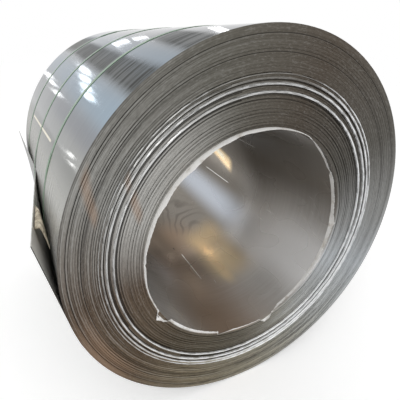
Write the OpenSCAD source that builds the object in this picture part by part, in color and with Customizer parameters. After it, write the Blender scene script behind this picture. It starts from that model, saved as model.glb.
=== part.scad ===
// Coil of stainless steel strip lying on its side: flat laps wound on an open bore, a loose outer
// end that springs off the coil, three plastic bands, and torn interleaving paper.
// The bore runs along Y and the front end faces -Y. A turn is an angle in degrees round the bore,
// anticlockwise from +X as seen from the front. A depth is counted from the front end backwards.

/* [Strip] */
// Bore that the strip is wound on
bore_d = 508; // [400:2:620]
// Width of the strip, which is the length of the coil
strip_w = 914; // [600:2:1250]
// Thickness of the strip
strip_t = 1.5; // [0.8:0.1:3]
// Laps of strip on the bore
laps = 108; // [70:1:140]

/* [Wound ends] */
// How far the lap at the bore stands back from the outermost laps
dish = 21; // [4:1:40]
// Laps next to the bore that lie at the bottom of the dish
level_laps = 38; // [5:1:50]
// Laps at the outside whose edges lie flush
flush_laps = 6; // [2:1:12]
// How far the deepest of the other edges have sunk between their neighbours
unevenness = 3; // [0.5:0.1:4]
// How far the first slipped group stands out of the dish. Those further out have slipped less
slip = 3.5; // [2:0.5:12]
// First slipped group, counted in laps from the bore
inner_slip = 41; // [20:1:44]
// Laps in the first slipped group
inner_slip_laps = 2; // [1:1:3]
// Second slipped group
middle_slip = 50; // [48:1:52]
// Laps in the second slipped group
middle_slip_laps = 1; // [1:1:3]
// Third slipped group
outer_slip = 56; // [55:1:57]
// Laps in the third slipped group
outer_slip_laps = 2; // [1:1:3]
// The last lap that has slipped, on its own
last_slip = 61; // [61:1:66]

/* [Loose outer end] */
// Turn at which the strip ends
end_turn = 164.5; // [150:0.5:180]
// How far the front corner stands off the coil
front_lift = 36; // [5:1:60]
// How far the back corner stands off the coil
back_lift = 22; // [5:1:60]

/* [Bands] */
// Width of each band
band_w = 19; // [13:1:32]
// Thickness of each band
band_t = 1.3; // [0.8:0.1:2]
// Depth of the front band's middle
front_band_at = 222; // [120:2:260]
// Depth of the closed middle band, which holds the loose end down
middle_band_at = 460; // [340:2:500]
// Depth of the back band's middle
back_band_at = 722; // [600:2:760]

/* [Paper] */
// Thickness of the paper
paper_t = 1; // [0.5:0.1:1.2]
// How far the paper stands out of the mouth of the bore where it is tallest
paper_reach = 18; // [8:1:20]
// Width of the torn sheet caught under the loose end
torn_sheet_w = 110; // [40:5:150]

/* [Hidden] */

bore_r = bore_d / 2;
coil_r = bore_r + laps * strip_t;
front_y = strip_w / 2; // the drawing plane's height of the front end
round_n = 180;
seat = 0.2; // clearance between a band or paper and what it lies on

// Everything is drawn lying flat with the front end up, then tipped so that the front faces -Y.
module tip_to_front() rotate([90, 0, 0]) children();

function at_turn(radius, turn, depth) =
    [radius * cos(turn), radius * sin(turn), front_y - depth];

// A closed skin through sections that have the same number of points in the same order.
module loft(sections) {
    n = len(sections[0]);
    last = len(sections) - 1;
    function corner(s, i) = s * n + i % n;
    polyhedron(
        points = [for (section = sections) each section],
        faces = concat(
            [[for (i = [0 : n - 1]) corner(0, i)]],
            [for (s = [0 : last - 1], i = [0 : n - 1])
                each [[corner(s, i), corner(s + 1, i), corner(s + 1, i + 1)],
                      [corner(s, i), corner(s + 1, i + 1), corner(s, i + 1)]]],
            [[for (i = [n - 1 : -1 : 0]) corner(last, i)]]
        )
    );
}

// The strip. Each lap is a flat edge at its own depth: from the rim the laps step back to the level
// bottom of the dish, no two neighbours lie even, and four groups have slipped out of the front.
function is_slipped(lap) =
    (lap >= inner_slip && lap < inner_slip + inner_slip_laps)
    || (lap >= middle_slip && lap < middle_slip + middle_slip_laps)
    || (lap >= outer_slip && lap < outer_slip + outer_slip_laps)
    || lap == last_slip;

function slipped_by(lap) = is_slipped(lap) ? slip * pow(inner_slip / lap, 2) : 0;

function stepped_back(lap) =
    dish * max(0, min(1, (laps - flush_laps - lap) / (laps - flush_laps - level_laps)));

// Nearly every fourth lap has sunk towards the bore and nearly every third one further out, some
// more than others. The laps at the mouth of the bore, which the paper stands between, lie even.
mouth_laps = 3;
sunk_turns_inside = 97;
sunk_turns_outside = 128;

function uneven(lap) =
    let (sunk = sin(lap * (lap < inner_slip ? sunk_turns_inside : sunk_turns_outside)),
         share = 0.65 + 0.35 * sin(lap * 23))
    lap < mouth_laps || lap >= laps - flush_laps || is_slipped(lap)
    ? 0 : unevenness * share * pow((1 + sunk) / 2, 2);

function lap_depth(lap) =
    stepped_back(lap) + uneven(lap) - slipped_by(lap);

function level_with(lap, neighbour) =
    neighbour >= 0 && neighbour < laps && lap_depth(lap) == lap_depth(neighbour);

function lap_edge(lap, end_height) = [
    if (!level_with(lap, lap - 1)) [bore_r + lap * strip_t, end_height - lap_depth(lap)],
    if (!level_with(lap, lap + 1)) [bore_r + (lap + 1) * strip_t, end_height - lap_depth(lap)]
];

function reversed(list) = [for (i = [len(list) - 1 : -1 : 0]) list[i]];

module wound_laps() {
    front_edges = [for (lap = [0 : laps - 1]) each lap_edge(lap, front_y)];
    back_edges = [for (lap = [0 : laps - 1]) each lap_edge(lap, -front_y)];
    rotate_extrude($fn = round_n)
        polygon(concat(front_edges, reversed(back_edges)));
}

// The last lap comes out of the coil, leaves it on a tangent and ends free. The middle band holds
// it down, and both corners spring away from there.
end_margin = 0.4; // the loose end's edges lie this far inside the flush laps
end_root_turn = end_turn + 34;
end_bite = 0.8; // how deep the inner face of the last lap is sunk while it lies on the coil
least_leave = 3;
arc_steps = 10;
free_steps = 2;
lift_steps = 6;

function lift_at(depth) =
    let (held_from = middle_band_at - band_w / 2, held_to = middle_band_at + band_w / 2)
    depth < held_from ? front_lift * (1 - depth / held_from)
    : depth > held_to ? back_lift * (depth - held_to) / (strip_w - held_to)
    : 0;

function leave_turn(lift) = end_turn + max(least_leave, acos(coil_r / (coil_r + lift)));

function outer_face(lift, depth) = [
    for (i = [0 : arc_steps])
        let (part = i / arc_steps, rise = min(1, 3 * part))
        at_turn(coil_r - 0.3 + (strip_t + 0.3) * rise,
                end_root_turn + (leave_turn(lift) - end_root_turn) * part, depth),
    for (i = [1 : free_steps])
        free_point(strip_t, lift + strip_t, lift, depth, i / free_steps)
];

function inner_face(lift, depth) = [
    for (i = [0 : arc_steps])
        at_turn(coil_r - end_bite,
                end_root_turn + (leave_turn(lift) - end_root_turn) * i / arc_steps, depth),
    for (i = [1 : free_steps])
        free_point(-end_bite, lift - end_bite * (1 - min(1, lift / 4)), lift, depth, i / free_steps)
];

// A point on the straight run from where the strip leaves the coil to where it ends.
function free_point(start_rise, end_rise, lift, depth, part) =
    at_turn(coil_r + start_rise, leave_turn(lift), depth) * (1 - part)
    + at_turn(coil_r + end_rise, end_turn, depth) * part;

function end_section(depth) =
    concat(outer_face(lift_at(depth), depth), reversed(inner_face(lift_at(depth), depth)));

module loose_end() {
    held_from = middle_band_at - band_w / 2;
    held_to = middle_band_at + band_w / 2;
    loft([
        for (i = [0 : lift_steps])
            end_section(end_margin + (held_from - end_margin) * i / lift_steps),
        for (i = [0 : lift_steps])
            end_section(held_to + (strip_w - end_margin - held_to) * i / lift_steps)
    ]);
}

module coil() {
    color("silver")
        tip_to_front()
            union() {
                wound_laps();
                loose_end();
            }
}

// The bands. Each lies on the coil with a little clearance and is welded where its ends lap.
weld_turns = 7;
back_weld_turn = 100;
front_weld_turn = 151;
middle_weld_turn = 20;

module band_ring(radius, thickness) {
    translate([0, 0, -band_w / 2])
        difference() {
            cylinder(h = band_w, r = radius + thickness, $fn = round_n);
            translate([0, 0, -1])
                cylinder(h = band_w + 2, r = radius, $fn = round_n);
        }
}

module sector(from_turn, to_turn) {
    far = 2 * coil_r;
    linear_extrude(2 * band_w, center = true)
        polygon([[0, 0], far * [cos(from_turn), sin(from_turn)], far * [cos(to_turn), sin(to_turn)]]);
}

module weld(radius, turn) {
    intersection() {
        band_ring(radius, 2 * band_t);
        sector(turn, turn + weld_turns);
    }
}

// The middle band is drawn tight over the loose end, so its centre sits towards that end.
module band_middle() {
    shift = strip_t / 2;
    radius = coil_r + shift + seat;
    color("seagreen")
        tip_to_front()
            translate([shift * cos(end_turn), shift * sin(end_turn), front_y - middle_band_at])
                union() {
                    band_ring(radius, band_t);
                    weld(radius, middle_weld_turn);
                }
}

// The other two were cut under the loose end, where their ends lie on the coil.
module cut_band(first_turn, depth, weld_turn) {
    radius = coil_r + seat;
    color("seagreen")
        tip_to_front()
            translate([0, 0, front_y - depth])
                union() {
                    difference() {
                        band_ring(radius, band_t);
                        sector(first_turn, end_root_turn + 3);
                    }
                    weld(radius, weld_turn);
                }
}

module band_front() cut_band(end_turn + 9, front_band_at, front_weld_turn);

module band_back() cut_band(end_turn + 5, back_band_at, back_weld_turn);

// Paper between the first laps, torn off short outside the bore. It stands on the second lap.
paper_steps = 90;
paper_flare = 0.14; // how far it leans outwards, as a share of its height
paper_lap = 1;
paper_ragged = 0.05;

// Turn and height of the torn edge, as shares of the tallest.
torn_edge = [[0, 0.9], [25, 1], [60, 0.95], [85, 1], [110, 0.75], [135, 0.6], [158, 0.55], [163, 0.2],
             [170, 0.5], [205, 0.45], [216, 0.95], [228, 0.5], [258, 0.5], [266, 0.3], [288, 0.8],
             [300, 0.35], [335, 0.45], [352, 0.6], [360, 0.9]];

function paper_section(turn) =
    let (height = paper_reach * (lookup(turn, torn_edge) + paper_ragged * sin(turn * 11)),
         chord_margin = bore_r * (1 - cos(180 / paper_steps)) / 2,
         inner = bore_r + paper_lap * strip_t + (strip_t - paper_t) / 2 + chord_margin,
         flare = paper_flare * height,
         root = min([for (lap = [paper_lap - 1 : paper_lap + 1]) lap_depth(lap)]))
    [at_turn(inner, turn, root), at_turn(inner + flare, turn, root - height),
     at_turn(inner + flare + paper_t, turn, root - height), at_turn(inner + paper_t, turn, root)];

module bore_paper() {
    ring = [for (i = [0 : paper_steps - 1]) paper_section(i * 360 / paper_steps)];
    n = 4;
    function corner(s, i) = (s % paper_steps) * n + i % n;
    color("ivory")
        tip_to_front()
            polyhedron(
                points = [for (section = ring) each section],
                faces = [for (s = [0 : paper_steps - 1], i = [0 : n - 1])
                    each [[corner(s, i), corner(s + 1, i), corner(s + 1, i + 1)],
                          [corner(s, i), corner(s + 1, i + 1), corner(s, i + 1)]]]
            );
}

// A torn sheet that bridges the gap between the coil and the front corner of the loose end.
sheet_from = 45;
sheet_steps = 5;
bridge_steps = 8;

function bridge_point(depth, part, inset) =
    let (foot = coil_r + seat + 0.3,
         head_turn = end_turn + 1.4,
         head = coil_r / cos(leave_turn(lift_at(depth)) - head_turn) - seat - 1,
         turn = end_turn + 4 + (head_turn - end_turn - 4) * part,
         bulge = 6 * sin(180 * part) + inset)
    at_turn(foot + (head - foot) * part, turn - bulge / coil_r * 57.3, depth);

function bridge_section(depth) = concat(
    [for (i = [0 : bridge_steps]) bridge_point(depth, i / bridge_steps, paper_t)],
    [for (i = [bridge_steps : -1 : 0]) bridge_point(depth, i / bridge_steps, 0)]
);

module torn_paper() {
    color("wheat")
        tip_to_front()
            loft([for (i = [0 : sheet_steps])
                bridge_section(sheet_from + torn_sheet_w * i / sheet_steps)]);
}

coil();
band_front();
band_middle();
band_back();
bore_paper();
torn_paper();
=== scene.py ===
import math
import random

import bpy
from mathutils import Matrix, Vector


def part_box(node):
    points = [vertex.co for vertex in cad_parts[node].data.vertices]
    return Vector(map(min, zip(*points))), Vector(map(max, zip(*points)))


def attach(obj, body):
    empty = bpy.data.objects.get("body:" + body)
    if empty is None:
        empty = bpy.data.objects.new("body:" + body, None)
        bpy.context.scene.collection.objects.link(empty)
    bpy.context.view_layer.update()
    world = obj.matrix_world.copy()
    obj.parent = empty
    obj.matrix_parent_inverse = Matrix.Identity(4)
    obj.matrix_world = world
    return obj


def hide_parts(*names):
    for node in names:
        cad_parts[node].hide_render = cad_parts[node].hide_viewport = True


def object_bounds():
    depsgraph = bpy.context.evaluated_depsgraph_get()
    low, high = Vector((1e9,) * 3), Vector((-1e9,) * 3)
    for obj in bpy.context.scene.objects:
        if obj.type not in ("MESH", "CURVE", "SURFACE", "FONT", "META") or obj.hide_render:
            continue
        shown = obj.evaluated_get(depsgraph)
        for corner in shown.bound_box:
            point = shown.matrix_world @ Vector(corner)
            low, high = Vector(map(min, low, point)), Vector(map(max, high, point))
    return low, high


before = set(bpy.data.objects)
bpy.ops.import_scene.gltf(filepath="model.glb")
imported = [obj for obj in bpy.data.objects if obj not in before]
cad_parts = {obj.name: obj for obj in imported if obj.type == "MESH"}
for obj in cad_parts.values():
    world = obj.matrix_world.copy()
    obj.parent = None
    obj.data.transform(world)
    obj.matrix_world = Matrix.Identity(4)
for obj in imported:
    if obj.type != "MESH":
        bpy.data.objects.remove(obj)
cad_box = [list(corner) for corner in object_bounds()]

# The view: a hand-held camera close to the front end, above the coil and to the left of its axis,
# looking down into the bore. Its place is counted from the middle of the front end.
front_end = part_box("coil")[0][1]
coil_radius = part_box("coil")[1][0]
camera_place = (-0.3949, front_end - 0.518, 0.3975)
camera_turn = -26.03
camera_dip = 34.23
bpy.ops.object.camera_add(
    location=camera_place,
    rotation=(math.radians(90 - camera_dip), 0, math.radians(camera_turn)),
)
camera = bpy.context.object
camera.data.lens = 30.19
camera.data.sensor_width = 36
camera.data.shift_y = 0.1618
bpy.context.scene.camera = camera

# The wound strip: cold rolled stainless steel, slit to width and wound flat on a mandrel that was
# then drawn out. The laps step back from the rim to the level bottom of a dish, some have sunk and
# some have slipped forwards, and each keeps its width, so the far end is a copy of the near one.
strip_width = 0.914
strip_thickness = 0.0015
bore_radius = 0.254
lap_count = round((coil_radius - bore_radius) / strip_thickness)
# The flush laps lie level at the rim, the level laps at the bottom of the dish, and none of the mouth
# laps has sunk.
flush_laps = 6
level_laps = 38
mouth_laps = 3
dish = 0.021
deepest_sunk = 0.003
sunk_step_inside = 97
sunk_step_outside = 128
sunk_swell = 23
slip = 0.0035
slipped_laps = (41, 42, 50, 51, 56, 57, 61)
inner_slips = slipped_laps[:4]
outer_slips = slipped_laps[4:]
steps_round = 192
lean_sideways = 0.0146
lean_upwards = 0.0045


def sine(degrees):
    return math.sin(math.radians(degrees))


def dish_depth(lap):
    from_rim = (lap_count - flush_laps - lap) / (lap_count - flush_laps - level_laps)
    return dish * max(0, min(1, from_rim))


def lap_depth(lap):
    """How far the edge of a lap stands back from the outermost laps."""
    if lap in slipped_laps:
        return dish_depth(lap) - slip * (slipped_laps[0] / lap) ** 2
    if lap < mouth_laps or lap >= lap_count - flush_laps:
        return dish_depth(lap)
    sunk = sine(lap * (sunk_step_inside if lap < slipped_laps[0] else sunk_step_outside))
    swell = 0.65 + 0.35 * sine(lap * sunk_swell)
    return dish_depth(lap) + deepest_sunk * swell * ((1 + sunk) / 2) ** 2


def lean(x, z):
    """The coil has been pushed a little out of square, so its laps stand further back to the right."""
    return lean_sideways * x + lean_upwards * z


def lap_side(side):
    return bore_radius + side * strip_thickness


lap_corners = []
for lap in range(lap_count):
    for side in (lap, lap + 1):
        lap_corners.append((lap_side(side), front_end + lap_depth(lap), 0))
for lap in reversed(range(lap_count)):
    for side in (lap + 1, lap):
        lap_corners.append((lap_side(side), front_end + strip_width + lap_depth(lap), 0))

bpy.ops.object.select_all(action="DESELECT")
bpy.ops.mesh.primitive_circle_add(vertices=len(lap_corners), fill_type="NOTHING")
coil = bpy.context.object
coil.name = "wound_strip"
for vertex, corner in zip(coil.data.vertices, lap_corners):
    vertex.co = corner
bpy.ops.object.mode_set(mode="EDIT")
bpy.ops.mesh.select_all(action="SELECT")
bpy.ops.mesh.spin(steps=steps_round, angle=math.tau, center=(0, 0, 0), axis=(0, 1, 0))
bpy.ops.mesh.select_all(action="SELECT")
bpy.ops.mesh.remove_doubles(threshold=1e-6)
bpy.ops.mesh.normals_make_consistent(inside=False)
bpy.ops.object.mode_set(mode="OBJECT")


def turn_of(point):
    """The angle round the bore, anticlockwise from +X as seen from the front."""
    return math.degrees(math.atan2(point[2], point[0])) % 360


def away_from(turn, middle):
    """How many degrees one turn lies from another, the shorter way round."""
    return abs((turn - middle + 180) % 360 - 180)


# Every lap has its own tone, kept on its faces, with painted light and shade: sunk laps get painted
# shade, slipped ones and the laps just outside them a painted highlight, and those just inside a
# slipped one painted shade. On the right, the laps beside the outermost slipped one are highlit too.
plain_tone = 0.62
sunk_shade = 0.44
dark_when_sunk = 0.0022
bright_tone = 0.9
shade_tone = 0.0
highlight_tone = 0.905
highlight_tone_at_top = 0.88
highlight_middle = 318
highlight_reach = 115
highlight_fade = 58
shades = random.Random(7)
lap_tones = []
for lap in range(lap_count):
    sunk = lap_depth(lap) - dish_depth(lap)
    tone = plain_tone + shades.uniform(-0.25, 0.25) - sunk_shade * min(1, max(0, sunk) / dark_when_sunk)
    if lap in slipped_laps:
        tone = 1.0
    elif lap - 1 in slipped_laps:
        tone = bright_tone
    elif lap + 1 in slipped_laps:
        tone = shade_tone
    elif lap >= lap_count - flush_laps:
        tone -= 0.3 * (lap % 2)
    lap_tones.append(max(shade_tone, tone))
# The outermost lap is darkened: a line of painted shade at the rim.
lap_tones[-1] = 0.1


def tone_at(lap, turn):
    """The tone of the edge of a lap at one turn, from 0 in painted shade to 1 in a painted highlight.
    """
    # The painted highlight is full round the lower right and gone over the top and the upper left.
    highlight_share = max(0, min(1, (highlight_reach - away_from(turn, highlight_middle)) / highlight_fade))
    if lap in outer_slips:
        return (highlight_tone_at_top if 70 < turn < 110 else highlight_tone) + 0.09 * highlight_share
    if slipped_laps[-2] < lap < slipped_laps[-1] + 2:
        return 0.25 + 0.65 * highlight_share
    deep_shade = lap + 2 in inner_slips or (100 < turn < 200 and lap + 4 in inner_slips)
    if deep_shade and highlight_share < 0.4:
        return shade_tone
    # The laps between the two inner groups get painted shade at the bottom and lower right.
    between_slips = inner_slips[2] - 6 < lap < inner_slips[2]
    if between_slips and 235 < turn < 345:
        return shade_tone
    return lap_tones[lap]


toned = coil.data.attributes.new("lap_tone", "FLOAT", "FACE")
for face in coil.data.polygons:
    radius = math.hypot(face.center.x, face.center.z)
    side = (radius - bore_radius) / strip_thickness
    if abs(face.normal.y) > 0.5:
        toned.data[face.index].value = tone_at(min(lap_count - 1, int(side)), turn_of(face.center))
        face.material_index = 1
    elif side > lap_count - 0.5:
        face.material_index = 0
    elif side < 0.5:
        face.material_index = 2
    else:
        outward = face.normal.x * face.center.x + face.normal.z * face.center.z > 0
        lap = round(side) - (1 if outward else 0)
        tone = tone_at(lap, turn_of(face.center))
        # The walls between laps carry painted shade, except on slipped laps.
        toned.data[face.index].value = tone if lap in slipped_laps else tone * 0.6
        face.material_index = 1

# The slipped laps have dented edges and stand out further at the lower right, the outer sunk laps lie
# almost flush at the upper right, and the whole coil leans.
dent_at_left = 0.0015
dent_at_right = 0.0004
edge_wave = 0.0005
further_out = 0.0012
further_out_turn = 290
further_out_reach = 60
most_flush = 0.85
flush_turn = 62
flush_reach = 95
flush_fade = 45
dents = random.Random(4)
dent_depths = {lap: [dents.uniform(-1, 1) for _ in range(steps_round)] for lap in slipped_laps}
for vertex in coil.data.vertices:
    radius = math.hypot(vertex.co.x, vertex.co.z)
    turn = turn_of(vertex.co)
    lap = round((radius - bore_radius) / strip_thickness - 0.5)
    depth = vertex.co.y - front_end
    if depth > strip_width / 2:
        depth -= strip_width
    vertex.co.y += lean(vertex.co.x, vertex.co.z)
    if lap > slipped_laps[-1]:
        flush_share = max(0, min(most_flush, (flush_reach - away_from(turn, flush_turn)) / flush_fade))
        vertex.co.y -= flush_share * max(0, depth - dish_depth(lap))
    if lap in slipped_laps:
        dent = dent_at_left if 50 < turn < 200 else dent_at_right
        spoke = round(turn / 360 * steps_round) % steps_round
        vertex.co.y += dent * dent_depths[lap][spoke] + edge_wave * sine(3 * turn + 20 * lap)
        vertex.co.y -= further_out * max(0, 1 - abs(turn - further_out_turn) / further_out_reach)
bpy.ops.object.shade_smooth_by_angle(angle=math.radians(30))
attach(coil, "root")
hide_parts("coil")


def place(tree, kind, links=None, **settings):
    """Adds a node. Links give its inputs, each a plain value or another node's output."""
    node = tree.nodes.new(kind)
    for name, value in settings.items():
        setattr(node, name, value)
    for key, value in (links or {}).items():
        if isinstance(value, bpy.types.NodeSocket):
            tree.links.new(value, node.inputs[key])
        else:
            node.inputs[key].default_value = value
    return node


def maths(tree, operation, *values):
    links = dict(enumerate(values))
    return place(tree, "ShaderNodeMath", links, operation=operation).outputs[0]


def blend(tree, share, first, second):
    links = {0: share, 6: first, 7: second}
    return place(tree, "ShaderNodeMix", links, data_type="RGBA").outputs[2]


def between(tree, value, low, high, to_low=0.0, to_high=1.0, smooth=True):
    links = {"Value": value, "From Min": low, "From Max": high, "To Min": to_low, "To Max": to_high}
    kind = "SMOOTHSTEP" if smooth else "LINEAR"
    return place(tree, "ShaderNodeMapRange", links, interpolation_type=kind).outputs[0]


def noise(tree, vector, scale=1.0, detail=2.0, roughness=0.5):
    links = {"Vector": vector, "Scale": scale, "Detail": detail, "Roughness": roughness}
    return place(tree, "ShaderNodeTexNoise", links).outputs["Fac"]


def stretched(tree, vector, scale):
    return place(tree, "ShaderNodeMapping", {"Vector": vector, "Scale": scale}).outputs[0]


def new_group(name, inputs, outputs):
    """A shader node group with its sockets. Returns the tree, its inputs and its output node."""
    tree = bpy.data.node_groups.new(name, "ShaderNodeTree")
    for title in inputs:
        tree.interface.new_socket(title, in_out="INPUT", socket_type="NodeSocketFloat")
    for title in outputs:
        kind = "NodeSocketVector" if title == "Around" else "NodeSocketFloat"
        tree.interface.new_socket(title, in_out="OUTPUT", socket_type=kind)
    return tree, tree.nodes.new("NodeGroupInput").outputs, tree.nodes.new("NodeGroupOutput").inputs


# Places on the coil are told by the radius, the turn round the bore and the depth from the front.
round_the_bore, _, results = new_group("round_the_bore", (), ("Radius", "Turn", "Depth", "Around"))
tree = round_the_bore
object_place = place(tree, "ShaderNodeTexCoord").outputs["Object"]
axes = place(tree, "ShaderNodeSeparateXYZ", {0: object_place}).outputs
squares = maths(tree, "ADD", maths(tree, "MULTIPLY", axes[0], axes[0]),
                maths(tree, "MULTIPLY", axes[2], axes[2]))
radius = maths(tree, "SQRT", squares)
tree.links.new(radius, results["Radius"])
angle = maths(tree, "ARCTAN2", axes[2], axes[0])
tree.links.new(maths(tree, "DEGREES", angle), results["Turn"])
tree.links.new(maths(tree, "SUBTRACT", axes[1], front_end), results["Depth"])
lap_vector = place(tree, "ShaderNodeCombineXYZ", {
    0: radius,
    1: maths(tree, "DIVIDE", axes[0], radius),
    2: maths(tree, "DIVIDE", axes[2], radius),
})
tree.links.new(lap_vector.outputs[0], results["Around"])

# A patch is a soft-edged stretch of the surface: a stain, a streak, a scratch, or a stretch of painted
# light or shade. On the slit edges the radius stands in for the depth.
patch_inputs = ("Turn", "Depth", "Middle", "Half Width", "Near", "Far", "Slant", "Softness", "Fade",
                "Strength")
patch_group, given, results = new_group("patch", patch_inputs, ("Mask",))
tree = patch_group
half_way = maths(tree, "MULTIPLY", maths(tree, "ADD", given["Near"], given["Far"]), 0.5)
slanted = maths(tree, "MULTIPLY", maths(tree, "SUBTRACT", given["Depth"], half_way), given["Slant"])
offset = maths(tree, "SUBTRACT", maths(tree, "SUBTRACT", given["Turn"], given["Middle"]), slanted)
sideways = maths(tree, "ABSOLUTE", maths(tree, "WRAP", offset, 180, -180))
full_width = maths(tree, "MULTIPLY", given["Half Width"],
                   maths(tree, "SUBTRACT", 1, given["Softness"]))
across = between(tree, sideways, given["Half Width"], full_width)
fade_in = between(tree, given["Depth"], given["Near"], maths(tree, "ADD", given["Near"], given["Fade"]))
fade_out = between(tree, given["Depth"], given["Far"],
                   maths(tree, "SUBTRACT", given["Far"], given["Fade"]))
mask = maths(tree, "MULTIPLY", across, maths(tree, "MULTIPLY", fade_in, fade_out))
tree.links.new(maths(tree, "MULTIPLY", mask, given["Strength"]), results["Mask"])


def patch(tree, turn, depth, middle, half_width, near, far, strength=1.0, slant=0.0, softness=0.8,
          fade=0.03):
    links = dict(zip(patch_inputs, (turn, depth, middle, half_width, near, far, slant, softness,
                                    fade, strength)))
    return place(tree, "ShaderNodeGroup", links, node_tree=patch_group).outputs["Mask"]


def new_material(name, metallic, roughness, specular_tint=None):
    """A material with its surface shader, and the shader's inputs."""
    material = bpy.data.materials.new(name)
    material.use_nodes = True
    shader = material.node_tree.nodes["Principled BSDF"].inputs
    shader["Metallic"].default_value = metallic
    shader["Roughness"].default_value = roughness
    if specular_tint:
        shader["Specular Tint"].default_value = (*specular_tint, 1)
    return material, material.node_tree, shader


def feed_bump(tree, shader, height, distance, strength):
    links = {"Height": height, "Distance": distance, "Strength": strength}
    bump = place(tree, "ShaderNodeBump", links)
    tree.links.new(bump.outputs[0], shader["Normal"])


# The rolled face: bright, with fine streaks along the rolling direction, smears and light scratches,
# and painted reflections: pale, bluish and dark stretches along the axis, and a cream highlight line.
rolled_face, tree, shader = new_material("rolled_face", 1, 0.1, (0.6, 0.61, 0.63))
where = place(tree, "ShaderNodeGroup", node_tree=round_the_bore).outputs
object_place = place(tree, "ShaderNodeTexCoord").outputs["Object"]
turn, depth = where["Turn"], where["Depth"]
fine_streaks = noise(tree, stretched(tree, object_place, (5, 210, 5)), detail=4, roughness=0.65)
smears = noise(tree, stretched(tree, object_place, (6, 120, 6)), detail=4, roughness=0.65)
clouds = noise(tree, stretched(tree, object_place, (3, 2.4, 3)), detail=2)
colour = blend(tree, between(tree, fine_streaks, 0.3, 0.7), (0.36, 0.36, 0.345, 1),
               (0.5, 0.495, 0.475, 1))
colour = blend(tree, between(tree, clouds, 0.42, 0.68, 0, 0.5), colour, (0.44, 0.435, 0.41, 1))
smeared = between(tree, smears, 0.36, 0.6, 1.0, 0.66)
# Painted reflections along the axis: a pale warm stretch at the upper left, two bluish stretches and a
# darker one.
for middle, half_width, near, far, slant, tint, strength in (
        (152, 17, -0.3, 1.2, 0, (0.6, 0.595, 0.545), 0.8),
        (130, 9, -0.3, 1.2, -6, (0.42, 0.55, 0.66), 0.8),
        (112, 9, -0.3, 1.2, -14, (0.36, 0.46, 0.55), 0.75),
        (139.5, 5, -0.3, 0.6, 0, (0.3, 0.31, 0.335), 0.6)):
    mask = patch(tree, turn, depth, middle, half_width, near, far, strength, slant, 0.9, 0.25)
    colour = blend(tree, mask, colour, (*tint, 1))
# Dark bands along the axis: painted reflection, broken up by smears.
smears_and_dark_reflection = 0.0
for middle, half_width, near, far, slant, strength in (
        (121.2, 6, -0.3, 0.8, -9, 1), (109.5, 6, -0.3, 0.3, -19, 1),
        (60, 13, -0.3, 1.2, 12, 0.4), (20, 10, -0.3, 1.2, -9, 0.35)):
    mask = patch(tree, turn, depth, middle, half_width, near, far, strength, slant, 0.6, 0.15)
    smears_and_dark_reflection = maths(tree, "MAXIMUM", smears_and_dark_reflection, mask)
smears_and_dark_reflection = maths(tree, "MULTIPLY", smears_and_dark_reflection, smeared)
# A dark olive block towards the back: painted reflection.
dark_reflection_block = patch(tree, turn, depth, 114.3, 9.5, 0.7, 1.2, 0.75, 0, 0.7, 0.08)
colour = blend(tree, smears_and_dark_reflection, colour, (0.045, 0.045, 0.035, 1))
colour = blend(tree, dark_reflection_block, colour, (0.075, 0.078, 0.045, 1))
# A thin cream line of painted highlight; it is not metallic, so it shows pale.
painted_cream_highlight = patch(tree, turn, depth, 150.3, 0.5, 0.27, 0.71, 1, 6, 0.5, 0.02)
colour = blend(tree, painted_cream_highlight, colour, (1, 0.92, 0.72, 1))
tree.links.new(colour, shader["Base Color"])
dull = patch(tree, turn, depth, 161, 17, -0.3, 1.2, 0.6)
dulled = maths(tree, "MAXIMUM", dull, maths(tree, "MAXIMUM", smears_and_dark_reflection, dark_reflection_block))
polish = between(tree, fine_streaks, 0.3, 0.75, 0.045, 0.09)
tree.links.new(maths(tree, "ADD", polish, maths(tree, "MULTIPLY", dulled, 0.35)), shader["Roughness"])
tree.links.new(maths(tree, "SUBTRACT", 1, maths(tree, "MAXIMUM", dull, painted_cream_highlight)), shader["Metallic"])
feed_bump(tree, shader, fine_streaks, 0.00005, 0.5)

# The slit edges: dull and grey, with painted light and shade round the turn and on the laps, a few
# brown stains, and each lap a little different.
slit_edges, tree, shader = new_material("slit_edges", 0.85, 0.45, (0.6, 0.6, 0.6))
where = place(tree, "ShaderNodeGroup", node_tree=round_the_bore).outputs
turn, radius = where["Turn"], where["Radius"]
# Round the turn the slit edges change tone, with painted light and shade: lighter and darker sectors
# where the light falls on them differently.
share_of_turn = maths(tree, "FRACT", maths(tree, "ADD", maths(tree, "DIVIDE", turn, 360), 1))
tone_and_light_by_turn = place(tree, "ShaderNodeValToRGB", {0: share_of_turn})
tone_and_light_stops = (
    (0.0, (0.385, 0.387, 0.38)), (0.09, (0.155, 0.147, 0.13)), (0.2, (0.112, 0.092, 0.073)),
    (0.3, (0.16, 0.152, 0.13)), (0.42, (0.33, 0.325, 0.305)), (0.51, (0.145, 0.105, 0.075)),
    (0.6, (0.215, 0.158, 0.105)), (0.68, (0.41, 0.355, 0.255)), (0.77, (0.54, 0.51, 0.43)),
    (0.86, (0.51, 0.515, 0.5)), (0.94, (0.64, 0.665, 0.685)), (1.0, (0.385, 0.387, 0.38)))
ramp = tone_and_light_by_turn.color_ramp
while len(ramp.elements) < len(tone_and_light_stops):
    ramp.elements.new(0.5)
for stop, (at, tone) in zip(ramp.elements, tone_and_light_stops):
    stop.position = at
    stop.color = (*tone, 1)
colour = tone_and_light_by_turn.outputs[0]
inner_laps = between(tree, radius, 0.338, 0.315)
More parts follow.
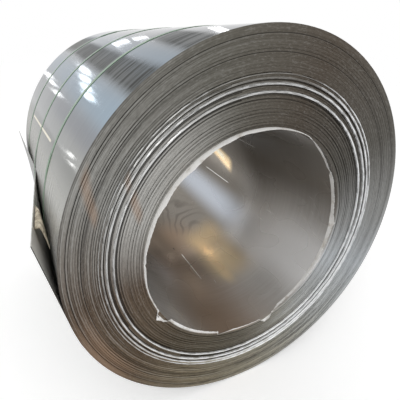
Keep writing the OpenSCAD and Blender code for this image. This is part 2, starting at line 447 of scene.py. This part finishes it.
# On the inner laps, painted light at the upper left and painted shade at the lower left and upper
# right.
for middle, half_width, tint, strength in (
        (142, 48, (0.8, 0.79, 0.76), 0.42), (245, 62, (0.09, 0.075, 0.055), 0.7),
        (45, 50, (0.06, 0.052, 0.042), 0.28)):
    inner_light_and_shade = patch(tree, turn, radius, middle, half_width, 0, 1, strength)
    colour = blend(tree, maths(tree, "MULTIPLY", inner_light_and_shade, inner_laps), colour, (*tint, 1))
lap_tone = place(tree, "ShaderNodeAttribute", attribute_name="lap_tone").outputs["Fac"]
wander = noise(tree, stretched(tree, where["Around"], (420, 1.6, 1.6)), detail=2, roughness=0.7)
flicker = noise(tree, stretched(tree, where["Around"], (480, 14, 14)), detail=1)
grain = noise(tree, stretched(tree, where["Around"], (400, 42, 42)), detail=2, roughness=0.7)
broad_lines = noise(tree, stretched(tree, where["Around"], (75, 0.9, 0.9)), detail=1)
lined = maths(tree, "ADD", patch(tree, turn, radius, 168, 80, 0, 1, 0.43, softness=0.7), 0.07)
lined = maths(tree, "ADD", patch(tree, turn, radius, 278, 78, 0, 1, 0.48, softness=0.65), lined)
plainer = maths(tree, "SUBTRACT", 1, maths(tree, "MULTIPLY", inner_laps, 0.45))
lined = maths(tree, "MULTIPLY", lined, plainer)
# Painted highlight streaks round the lower right of the end.
highlight_streaks = patch(tree, turn, radius, 325, 62, 0, 1)
tone = maths(tree, "ADD", lap_tone, between(tree, wander, 0.3, 0.7, -0.3, 0.3))
tone = maths(tree, "ADD", tone, between(tree, flicker, 0.3, 0.7, -0.1, 0.1))
dark_share = maths(tree, "MULTIPLY", between(tree, tone, 0.55, 0.1), lined)
colour = blend(tree, dark_share, colour, (0.025, 0.022, 0.02, 1))
light_share = maths(tree, "MULTIPLY", between(tree, tone, 0.6, 0.95, 0, 0.5), lined)
colour = blend(tree, light_share, colour, (0.62, 0.62, 0.6, 1))
colour = blend(tree, between(tree, grain, 0.5, 0.32, 0, 0.16), colour, (0.03, 0.027, 0.022, 1))
colour = blend(tree, between(tree, grain, 0.52, 0.7, 0, 0.1), colour, (0.7, 0.7, 0.68, 1))
bright_share = maths(tree, "MULTIPLY", between(tree, broad_lines, 0.4, 0.65, 0, 0.3), highlight_streaks)
colour = blend(tree, bright_share, colour, (0.85, 0.87, 0.88, 1))
# Painted sheen and highlight on the slipped laps, full round the lower right; there they are less
# metallic, so that they show pale.
sheen = maths(tree, "ADD", patch(tree, turn, radius, 315, 150, 0, 1, 0.45, softness=0.45), 0.55)
ring_highlight = maths(tree, "MULTIPLY", between(tree, lap_tone, 0.85, 0.95),
               between(tree, flicker, 0.38, 0.56, 0.55, 1))
ring_highlight = maths(tree, "MULTIPLY", ring_highlight, sheen)
colour = blend(tree, ring_highlight, colour, (0.97, 0.98, 0.99, 1))
shaded = between(tree, lap_tone, 0.08, 0.02, 0, 0.6)
colour = blend(tree, shaded, colour, (0.02, 0.018, 0.016, 1))
for middle, half_width, near, far, slant, strength in (
        (151.2, 3.6, 0.352, 0.414, -225, 0.42), (143.5, 2.4, 0.318, 0.348, -200, 0.35),
        (150, 3.8, 0.274, 0.32, -210, 0.45), (203, 22, 0.372, 0.44, 0, 0.4)):
    stain = patch(tree, turn, radius, middle, half_width, near, far, strength, slant, 0.9, 0.014)
    colour = blend(tree, stain, colour, (0.47, 0.31, 0.21, 1))
tree.links.new(colour, shader["Base Color"])
tree.links.new(between(tree, ring_highlight, 0, 1, 0.85, 0.35, smooth=False), shader["Metallic"])
tree.links.new(between(tree, wander, 0.3, 0.7, 0.5, 0.38), shader["Roughness"])
feed_bump(tree, shader, wander, 0.0004, 0.25)

# The face in the bore: the same strip, rubbed by the mandrel, darker further in as painted shade,
# with tinted patches of painted reflection, highlight and shade, dried water marks in nested
# arches, and scratches.
bore_face, tree, shader = new_material("bore_face", 1, 0.2, (0.6, 0.6, 0.6))
where = place(tree, "ShaderNodeGroup", node_tree=round_the_bore).outputs
turn, depth = where["Turn"], where["Depth"]
object_place = place(tree, "ShaderNodeTexCoord").outputs["Object"]
fine_streaks = noise(tree, stretched(tree, object_place, (6, 160, 6)), detail=4, roughness=0.6)
smudges = noise(tree, stretched(tree, object_place, (8, 5, 8)), detail=1)
colour = blend(tree, between(tree, fine_streaks, 0.3, 0.7), (0.5, 0.48, 0.455, 1),
               (0.58, 0.565, 0.545, 1))
# Painted shade: the bore grows darker further in.
colour = blend(tree, between(tree, depth, 0.25, 0.52, 0, 0.85), colour, (0.17, 0.15, 0.125, 1))
colour = blend(tree, between(tree, smudges, 0.3, 0.8, 0, 0.2), colour, (0.28, 0.25, 0.22, 1))
# Patches of painted light and shade: the dark ones are painted shade, the pale and bluish ones painted
# reflections, the brown and warm ones a painted reflection of warm light, and a warm streak and a warm
# wedge painted highlights.
for middle, half_width, near, far, slant, softness, fade, tint, strength in (
        (-106, 30, -0.3, 0.28, 0, 0.9, 0.2, (0.1, 0.075, 0.05), 0.7),
        (-92, 27, 0.46, 1.2, 0, 0.9, 0.14, (0.1, 0.078, 0.055), 0.5),
        (-98, 42, -0.3, 0.75, 0, 0.9, 0.2, (0.37, 0.25, 0.165), 0.6),
        (-46, 42, 0.13, 0.46, 0, 0.9, 0.13, (1.0, 0.96, 0.92), 0.65),
        (-104, 23, 0.36, 1.2, 0, 0.9, 0.12, (0.08, 0.065, 0.05), 0.75),
        (-30, 30, -0.3, 0.42, 0, 0.8, 0.3, (0.97, 0.97, 0.97), 0.85),
        (31, 40, -0.3, 0.6, 0, 0.7, 0.2, (0.17, 0.152, 0.13), 0.8),
        (-32, 18, 0.2, 1.2, 7, 0.95, 0.35, (0.55, 0.59, 0.655), 0.85),
        (-66, 21, 0.16, 0.6, 3, 0.7, 0.14, (0.52, 0.39, 0.23), 0.8),
        (-68, 19, 0.19, 0.42, 3, 0.9, 0.1, (1.0, 0.82, 0.55), 0.85),
        (-73.5, 5.5, 0.17, 0.42, 5, 0.9, 0.1, (1.0, 0.78, 0.5), 0.85),
        (6.2, 7.5, 0.53, 0.77, 62, 0.75, 0.04, (1.0, 0.77, 0.48), 0.95),
        (7.5, 3.6, 0.58, 0.74, 62, 0.9, 0.04, (1.0, 0.94, 0.76), 0.9)):
    mask = patch(tree, turn, depth, middle, half_width, near, far, strength, slant, softness, fade)
    colour = blend(tree, mask, colour, (*tint, 1))
arch_turn = -66
arch_spread = 50
arch_rings = 92
from_arch = maths(tree, "DIVIDE", maths(tree, "SUBTRACT", turn, arch_turn), arch_spread)
arches = maths(tree, "ADD", depth, maths(tree, "POWER", from_arch, 2))
arches = maths(tree, "ADD", arches, between(tree, smudges, 0.3, 0.7, 0, 0.1))
marked = maths(tree, "SINE", maths(tree, "MULTIPLY", arches, arch_rings))
marked = maths(tree, "MULTIPLY", between(tree, marked, 0.1, 1),
               patch(tree, turn, depth, -68, 24, 0.52, 0.88, 0.4, fade=0.1))
colour = blend(tree, marked, colour, (0.07, 0.06, 0.05, 1))
scratched = 0.0
for middle, half_width, near, far, slant in (
        (-24.4, 0.4, 0.284, 0.329, 0), (-16.2, 0.36, 0.25, 0.3, 0), (-14, 0.4, 0.54, 0.745, 8),
        (26.8, 0.3, 0.362, 0.464, 15), (-1, 0.7, 0.096, 0.114, 200), (8, 0.25, 0.108, 0.13, 60),
        (268.7, 0.45, 0.26, 0.44, 2.4), (-84, 0.2, 0.22, 0.25, 30)):
    scratch = patch(tree, turn, depth, middle, half_width, near, far, 1, slant, 0.7, 0.02)
    scratched = maths(tree, "MAXIMUM", scratched, scratch)
colour = blend(tree, scratched, colour, (1, 1, 0.97, 1))
# Painted light: the face of the loose end's free part, which lies in shade, is made pale.
painted_light_on_free_part = maths(tree, "MULTIPLY", patch(tree, turn, depth, 165, 14, -0.3, 1.2, 0.85),
                  between(tree, where["Radius"], 0.3, 0.35))
colour = blend(tree, painted_light_on_free_part, colour, (0.9, 0.88, 0.84, 1))
pit = patch(tree, turn, depth, 266.3, 0.55, 0.472, 0.486, 1, 0, 0.5, 0.003)
colour = blend(tree, pit, colour, (0.02, 0.02, 0.02, 1))
tree.links.new(colour, shader["Base Color"])
shine = between(tree, depth, 0.2, 0.5, 0.33, 1)
shine = maths(tree, "MULTIPLY", shine, maths(tree, "SUBTRACT", 1, painted_light_on_free_part))
tree.links.new(shine, shader["Metallic"])
tree.links.new(between(tree, smudges, 0.3, 0.7, 0.22, 0.32), shader["Roughness"])
feed_bump(tree, shader, fine_streaks, 0.00006, 0.4)
for material in (rolled_face, slit_edges, bore_face):
    coil.data.materials.append(material)

# The loose end: the last turn of the same strip. It comes out of the coil on its left side, is held
# down by the middle band and springs off the coil at both corners.
end_turn = 164.5
root_turn = end_turn + 34
front_lift = 0.036
back_lift = 0.022
held_from = 0.4505
held_to = 0.4695
end_margin = 0.0004
root_sunk = strip_thickness * 1.3
tip_clearance = 0.00005
corner_back = 0.017
columns = 30
rows = 44
arc_columns = 20


def on_coil(radius, turn, depth):
    """A point of the leaning coil, from its radius, its turn and its depth from the front."""
    x, z = radius * math.cos(math.radians(turn)), radius * math.sin(math.radians(turn))
    return Vector((x, front_end + depth + lean(x, z), z))


def lift_at(depth):
    """How far the free edge of the loose end stands off the coil."""
    if depth < held_from:
        return front_lift * (1 - depth / held_from)
    return back_lift * max(0, depth - held_to) / (strip_width - held_to)


def leave_turn_at(depth):
    """The turn at which the loose end leaves the coil, tangent to it."""
    return end_turn + max(3, math.degrees(math.acos(coil_radius / (coil_radius + lift_at(depth)))))


def end_place(column, depth):
    """A point on the inner face of the loose end."""
    part = min(1, column / arc_columns)
    radius = coil_radius - root_sunk * (1 - min(1, 3 * part))
    turn = root_turn + (leave_turn_at(depth) - root_turn) * part
    further_back = depth + corner_back * column / columns * max(0, 1 - depth / held_from)
    at = on_coil(radius, turn, further_back)
    if column > arc_columns:
        tip = on_coil(coil_radius + lift_at(depth) + tip_clearance, end_turn, further_back)
        at = at.lerp(tip, (column - arc_columns) / (columns - arc_columns))
    return at


def thicken(sheet, thickness, offset):
    """Gives the active sheet its thickness, with its faces outwards."""
    solid = sheet.modifiers.new("thickness", "SOLIDIFY")
    solid.thickness = thickness
    solid.offset = offset
    bpy.ops.object.modifier_apply(modifier="thickness")
    bpy.ops.object.mode_set(mode="EDIT")
    bpy.ops.mesh.select_all(action="SELECT")
    bpy.ops.mesh.normals_make_consistent(inside=False)
    bpy.ops.object.mode_set(mode="OBJECT")


bpy.ops.object.select_all(action="DESELECT")
bpy.ops.mesh.primitive_grid_add(x_subdivisions=columns, y_subdivisions=rows, size=2)
loose_end = bpy.context.object
loose_end.name = "loose_end"
for vertex in loose_end.data.vertices:
    column = (vertex.co.x + 1) / 2 * columns
    depth = end_margin + (vertex.co.y + 1) / 2 * (strip_width - 2 * end_margin)
    vertex.co = end_place(column, depth)
middle_face = loose_end.data.polygons[len(loose_end.data.polygons) // 2]
outwards = middle_face.normal.dot(Vector((middle_face.center.x, 0, middle_face.center.z)))
thicken(loose_end, strip_thickness, 1 if outwards > 0 else -1)
bpy.ops.object.shade_smooth_by_angle(angle=math.radians(30))
for material in (rolled_face, slit_edges, bore_face):
    loose_end.data.materials.append(material)
for face in loose_end.data.polygons:
    outward = Vector((face.center.x, 0, face.center.z)).normalized()
    if face.normal.dot(outward) < -0.5:
        face.material_index = 2
    elif abs(face.normal.dot(outward)) < 0.5 and abs(face.normal.y) > 0.5:
        face.material_index = 1
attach(loose_end, "root")
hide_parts("coil")

# The bands: green plastic strapping, drawn tight round the coil and welded where the ends lap. The
# middle one lies over the loose end and the other two were cut under it.
band_width = 0.0145
band_thickness = 0.0006
band_edge = 0.0002
band_seat = 0.0001
band_steps = 180
weld_turns = 7
weld_steps = 6
band_start = root_turn + 3

band_green, tree, shader = new_material("band_green", 0, 0.28)
object_place = place(tree, "ShaderNodeTexCoord").outputs["Object"]
where = place(tree, "ShaderNodeGroup", node_tree=round_the_bore).outputs
scuffs = noise(tree, stretched(tree, object_place, (30, 300, 30)), detail=3)
colour = blend(tree, between(tree, scuffs, 0.35, 0.7), (0.125, 0.22, 0.14, 1), (0.21, 0.325, 0.22, 1))
tree.links.new(colour, shader["Base Color"])
ribs = maths(tree, "SINE", maths(tree, "MULTIPLY", where["Turn"], 12.5))
cross_ribs = maths(tree, "SINE", maths(tree, "MULTIPLY", where["Depth"], 1800))
feed_bump(tree, shader, maths(tree, "MULTIPLY", ribs, cross_ribs), 0.0002, 0.6)
tree.links.new(between(tree, scuffs, 0.3, 0.7, 0.22, 0.4), shader["Roughness"])


def band_piece(name, radius, from_turn, turns, depth, steps):
    """A stretch of band: its cross-section, rounded at the edges, turned round the bore."""
    bpy.ops.object.select_all(action="DESELECT")
    bpy.ops.mesh.primitive_plane_add(size=1)
    piece = bpy.context.object
    piece.name = name
    for vertex in piece.data.vertices:
        vertex.co.x = radius + band_thickness * (vertex.co.x + 0.5)
        vertex.co.y = front_end + depth + band_width * vertex.co.y
    bpy.ops.object.mode_set(mode="EDIT")
    bpy.ops.mesh.select_all(action="SELECT")
    bpy.ops.mesh.bevel(affect="VERTICES", offset=band_edge, segments=2)
    bpy.ops.mesh.select_all(action="SELECT")
    bpy.ops.transform.rotate(value=math.radians(from_turn), orient_axis="Y",
                             center_override=(0, 0, 0))
    bpy.ops.mesh.spin(steps=steps, angle=math.radians(turns), center=(0, 0, 0), axis=(0, 1, 0))
    bpy.ops.mesh.select_all(action="SELECT")
    bpy.ops.mesh.remove_doubles(threshold=1e-6)
    bpy.ops.mesh.normals_make_consistent(inside=False)
    bpy.ops.object.mode_set(mode="OBJECT")
    return piece


def over_the_end(turn):
    """How far the middle band is lifted where it lies over the loose end."""
    return strip_thickness * max(0, min(1, (turn - 157) / 6)) * max(0, min(1, (201 - turn) / 12))


for name, depth, from_turn, to_turn, weld_turn in (
        ("band_front", 0.228, band_start, 360 + end_turn + 9, 151),
        ("band_middle", 0.466, 0, 360, 20),
        ("band_back", 0.728, band_start, 360 + end_turn + 5, 100)):
    radius = coil_radius + band_seat
    ring = band_piece(name + "_strap", radius, from_turn, to_turn - from_turn, depth, band_steps)
    on_top = radius + band_thickness * 0.95
    weld = band_piece(name + "_weld", on_top, weld_turn, weld_turns, depth, weld_steps)
    bpy.ops.object.select_all(action="DESELECT")
    weld.select_set(True)
    ring.select_set(True)
    bpy.context.view_layer.objects.active = ring
    bpy.ops.object.join()
    if name == "band_middle":
        for vertex in ring.data.vertices:
            outward = Vector((vertex.co.x, 0, vertex.co.z)).normalized()
            vertex.co += outward * over_the_end(turn_of(vertex.co))
    bpy.ops.object.shade_smooth_by_angle(angle=math.radians(40))
    ring.data.materials.append(band_green)
    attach(ring, "root")
    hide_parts(name)

# The paper at the bore: white interleaving paper, wound in between the first laps and torn off
# where it stood out of the end. On the left a ragged edge of it stands out of the mouth, below it is
# crumpled, and on the right it has folded back over the first lap and lines the bore.
paper_lap = 1
# The turn, then the radius and depth of the root, then those of the torn edge, in millimetres.
torn_edge = (
    (0, 253.0, 17, 254.0, -1), (2, 252.9, 18, 252.5, 1), (6, 252.9, 18, 250.0, 5),
    (20, 252.9, 20, 249.5, 6), (30, 252.9, 19, 250.5, 4), (33, 252.9, 12, 251.5, 6),
    (36, 252.9, 18, 249.0, 6), (46, 252.9, 15, 250.5, 3), (54, 253.0, 8, 252.5, -1),
    (60, 255.0, 0, 253.5, -6),
    (65, 256.2, 4, 255.0, -12), (78, 256.2, 4, 257.0, -15), (100, 256.2, 4, 256.5, -14),
    (118, 256.2, 4, 255.5, -16), (140, 256.2, 4, 257.0, -17), (156, 256.2, 4, 257.5, -15),
    (171, 256.2, 4, 257.5, -14), (172.6, 256.2, 4, 257.5, -10), (173.6, 256.2, 4, 256.0, 0),
    (174.8, 256.2, 4, 255.5, -8), (190, 256.2, 4, 254.5, -6), (202.5, 256.2, 4, 253.0, -5),
    (204.5, 256.2, 4, 262.0, -3), (206.6, 256.2, 4, 270.5, -4), (208, 256.2, 4, 263.0, -8),
    (210, 256.2, 4, 262.0, -6), (212.5, 256.2, 4, 252.0, -5), (213.5, 256.2, 4, 247.0, 0),
    (222, 256.2, 4, 246.5, 1), (238, 256.2, 4, 245.5, 0), (250.8, 256.2, 4, 246.0, -1),
    (251.6, 256.2, 4, 257.0, 0), (254, 256.2, 4, 253.5, -1), (262, 256.2, 4, 247.5, 1),
    (272, 256.2, 4, 249.0, 0), (281, 256.2, 4, 249.0, -1), (282.5, 256.2, 4, 258.0, -3),
    (284, 256.2, 4, 263.5, -5), (286.5, 256.2, 4, 259.0, -8), (289, 256.2, 4, 254.0, -6),
    (291, 254.5, 0, 251.0, 1),
    (297, 252.9, 12, 251.5, 4), (330, 252.9, 14, 250.5, 5), (350, 252.9, 15, 251.5, 4),
    (358, 253.0, 16, 252.0, 1), (360, 253.0, 17, 254.0, -1))
paper_thickness = 0.0004
paper_columns = 540
paper_rows = 6
crease_step = 6
crease_out = 1.1
crease_along = 1.2
folded_from = 255.5
fold_bulge = 6
tear_depth = 0.0007
tears = random.Random(11)
column_tears = [tears.uniform(-1, 1) for _ in range(paper_columns)]
creases = [tears.uniform(-1, 1) for _ in range(360 // crease_step)]


def torn_place(turn, part):
    """The radius and depth of the paper, in metres, from its root to its torn edge."""
    knot = int(turn // crease_step)
    share = turn / crease_step - knot
    crease = creases[knot % len(creases)] * (1 - share) + creases[(knot + 1) % len(creases)] * share
    for low, high in zip(torn_edge, torn_edge[1:]):
        if low[0] <= turn <= high[0]:
            share = (turn - low[0]) / (high[0] - low[0])
            root, root_depth, tip, tip_depth = (
                a + (b - a) * share for a, b in zip(low[1:], high[1:]))
            bulge = fold_bulge * part * (1 - part) if root > folded_from else 0
            out = root + (tip - root) * part + bulge + crease_out * crease * part
            along = root_depth + (tip_depth - root_depth) * part + crease_along * crease * part
            return out / 1000, along / 1000


bpy.ops.object.select_all(action="DESELECT")
bpy.ops.mesh.primitive_cylinder_add(vertices=paper_columns, radius=1, depth=2, end_fill_type="NOTHING")
bore_paper = bpy.context.object
bore_paper.name = "bore_paper_fringe"
bpy.ops.object.mode_set(mode="EDIT")
bpy.ops.mesh.select_all(action="DESELECT")
bpy.ops.object.mode_set(mode="OBJECT")
for edge in bore_paper.data.edges:
    low, high = (bore_paper.data.vertices[i].co for i in edge.vertices)
    edge.select = abs(low.z - high.z) > 1
bpy.ops.object.mode_set(mode="EDIT")
bpy.ops.mesh.select_mode(type="EDGE")
bpy.ops.mesh.subdivide(number_cuts=paper_rows - 1)
bpy.ops.object.mode_set(mode="OBJECT")
for vertex in bore_paper.data.vertices:
    turn = math.degrees(math.atan2(vertex.co.y, vertex.co.x)) % 360
    part = (vertex.co.z + 1) / 2
    column = round(turn / 360 * paper_columns) % paper_columns
    radius, depth = torn_place(turn, part)
    depth += tear_depth * part * column_tears[column]
    vertex.co = on_coil(radius, turn, lap_depth(paper_lap) + depth)
thicken(bore_paper, paper_thickness, 0)
bpy.ops.object.shade_smooth_by_angle(angle=math.radians(35))

white_paper, tree, shader = new_material("white_paper", 0, 0.75)
object_place = place(tree, "ShaderNodeTexCoord").outputs["Object"]
soil = noise(tree, object_place, scale=38, detail=4, roughness=0.6)
fibres = noise(tree, object_place, scale=900, detail=3, roughness=0.7)
colour = blend(tree, between(tree, soil, 0.5, 0.75), (0.88, 0.87, 0.85, 1), (0.58, 0.54, 0.48, 1))
tree.links.new(colour, shader["Base Color"])
creases = noise(tree, stretched(tree, object_place, (160, 60, 160)), detail=3, roughness=0.6)
feed_bump(tree, shader, maths(tree, "ADD", creases, maths(tree, "MULTIPLY", fibres, 0.15)), 0.0015, 0.6)
bore_paper.data.materials.append(white_paper)
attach(bore_paper, "root")
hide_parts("bore_paper")

# The torn sheet: soiled packing paper caught between the coil and the front corner of the loose end.
# It was pulled and torn there, and what is left is bent into a curl.
sheet_near = (0.078, 0.105)
sheet_far = (0.1, 0.205)
near_ragged = 0.001
far_ragged = 0.003
foot_turn = end_turn + 4
head_turn = end_turn + 0.4
foot = coil_radius + 0.0006
head_clearance = 0.0012
bow = 0.013
curls = 2
curl_start = 25
curl_roundness = 0.6
curl_height = 0.005
crumple = 0.0007
lip = 0.2
lip_radius = 0.0035
sheet_columns = 24
sheet_rows = 48
bpy.ops.object.select_all(action="DESELECT")
bpy.ops.mesh.primitive_grid_add(x_subdivisions=sheet_columns, y_subdivisions=sheet_rows, size=2)
torn_sheet = bpy.context.object
torn_sheet.name = "torn_sheet"
for vertex in torn_sheet.data.vertices:
    part = (vertex.co.x + 1) / 2
    across = (vertex.co.y + 1) / 2
    near = sheet_near[0] + (sheet_near[1] - sheet_near[0]) * part + near_ragged * sine(part * 2300)
    far = sheet_far[0] + (sheet_far[1] - sheet_far[0]) * part + far_ragged * sine(part * 700 + 60)
    rolled = math.pi * max(0, 1 - across / lip)
    depth = near + (far - near) * max(0, across - lip) / (1 - lip) - lip_radius * math.sin(rolled)
    head = coil_radius / math.cos(math.radians(leave_turn_at(depth) - head_turn)) - head_clearance
    curl = abs(sine(180 * curls * across + curl_start)) ** curl_roundness
    bulge = (bow + curl_height * curl) * math.sin(math.pi * part)
    bulge += crumple * sine(part * 720 + across * 300) - lip_radius * (1 - math.cos(rolled))
    turn = foot_turn + (head_turn - foot_turn) * part - math.degrees(bulge / coil_radius)
    radius = foot + (head - foot) * (0.1 + 0.9 * part)
    vertex.co = on_coil(radius, turn, depth)
thicken(torn_sheet, paper_thickness, 0)
bpy.ops.object.shade_smooth_by_angle(angle=math.radians(35))

beige_paper, tree, shader = new_material("beige_paper", 0, 0.8)
object_place = place(tree, "ShaderNodeTexCoord").outputs["Object"]
# The dark streaks along the curl are soil and painted shade between the folds.
soil = noise(tree, stretched(tree, object_place, (30, 150, 30)), detail=4, roughness=0.6)
colour = blend(tree, between(tree, soil, 0.4, 0.7), (0.56, 0.5, 0.39, 1), (0.2, 0.16, 0.11, 1))
tree.links.new(colour, shader["Base Color"])
feed_bump(tree, shader, soil, 0.002, 0.6)
torn_sheet.data.materials.append(beige_paper)
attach(torn_sheet, "root")
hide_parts("torn_paper")

# The studio: a pale floor that the coil lies on, a white surround, a large soft lamp over the front
# end, and small softboxes behind the coil. They show as bright panes on the rolled face and behind the
# loose end, and the warm one shines into the bore from its far end.
bpy.ops.object.select_all(action="DESELECT")
bpy.ops.mesh.primitive_plane_add(size=30, location=(0, 0, cad_box[0][2]))
floor = bpy.context.object
floor.name = "floor"
floor_paint, tree, shader = new_material("pale_floor", 0, 0.9)
seen = place(tree, "ShaderNodeLightPath").outputs["Is Camera Ray"]
tree.links.new(blend(tree, seen, (0.8, 0.8, 0.8, 1), (1, 1, 1, 1)), shader["Base Color"])
tree.links.new(blend(tree, seen, (0, 0, 0, 1), (0.19, 0.19, 0.19, 1)), shader["Emission Color"])
shader["Emission Strength"].default_value = 1
floor.data.materials.append(floor_paint)


def softbox(name, place_at, aim, width, height, power, tint=(1, 1, 1)):
    bpy.ops.object.light_add(type="AREA", location=place_at)
    lamp = bpy.context.object
    lamp.name = name
    lamp.data.shape = "RECTANGLE"
    lamp.data.size = width
    lamp.data.size_y = height
    lamp.data.energy = power
    lamp.data.color = tint
    lamp.rotation_euler = (Vector(aim) - Vector(place_at)).to_track_quat("-Z", "Y").to_euler()
    lamp.visible_camera = False


softbox("key", (-1.7, front_end - 1.9, 2.3), (0, 0, 0), 1.6, 1.6, 30)
pane_power = 4.0
pane_distance = 3.5
for index, (across, height, width, tall) in enumerate((
        (-0.71, 0.975, 0.1, 0.11), (-0.58, 0.975, 0.09, 0.11), (-0.45, 0.98, 0.09, 0.11),
        (-0.31, 0.98, 0.11, 0.1), (0.5, 1.08, 0.24, 0.06), (0.79, 1.1, 0.2, 0.05),
        (-0.74, 0.56, 0.05, 0.08), (-0.62, 0.56, 0.05, 0.05), (-0.53, 0.55, 0.05, 0.07),
        (1.9, 1.2, 0.16, 0.4), (-1.45, 0.2, 0.05, 0.08), (-1.55, 0.1, 0.04, 0.06))):
    softbox(f"pane_{index}", (across, pane_distance, height), (across * 0.3, 0, 0.3), width, tall,
            pane_power * width * tall * math.pi)
softbox("low_pane", (-0.33, 1.22, -0.33), (0.1, 0.457, -0.095), 0.22, 0.09, 0.17)
softbox("warm_pane", (0.08, 0.475, 0.24), (0.078, -0.16, -0.24), 0.04, 0.03, 0.04, (1, 0.75, 0.45))

world = bpy.data.worlds.new("white_surround")
bpy.context.scene.world = world
world.use_nodes = True
tree = world.node_tree
rays = place(tree, "ShaderNodeLightPath").outputs
shown = maths(tree, "MAXIMUM", rays["Is Camera Ray"],
              maths(tree, "MAXIMUM", rays["Is Glossy Ray"], rays["Is Transmission Ray"]))
background = tree.nodes["Background"]
background.inputs["Color"].default_value = (1, 1, 1, 1)
tree.links.new(between(tree, shown, 0, 1, 0.8, 1, smooth=False), background.inputs["Strength"])
bpy.context.scene.view_settings.view_transform = "Standard"
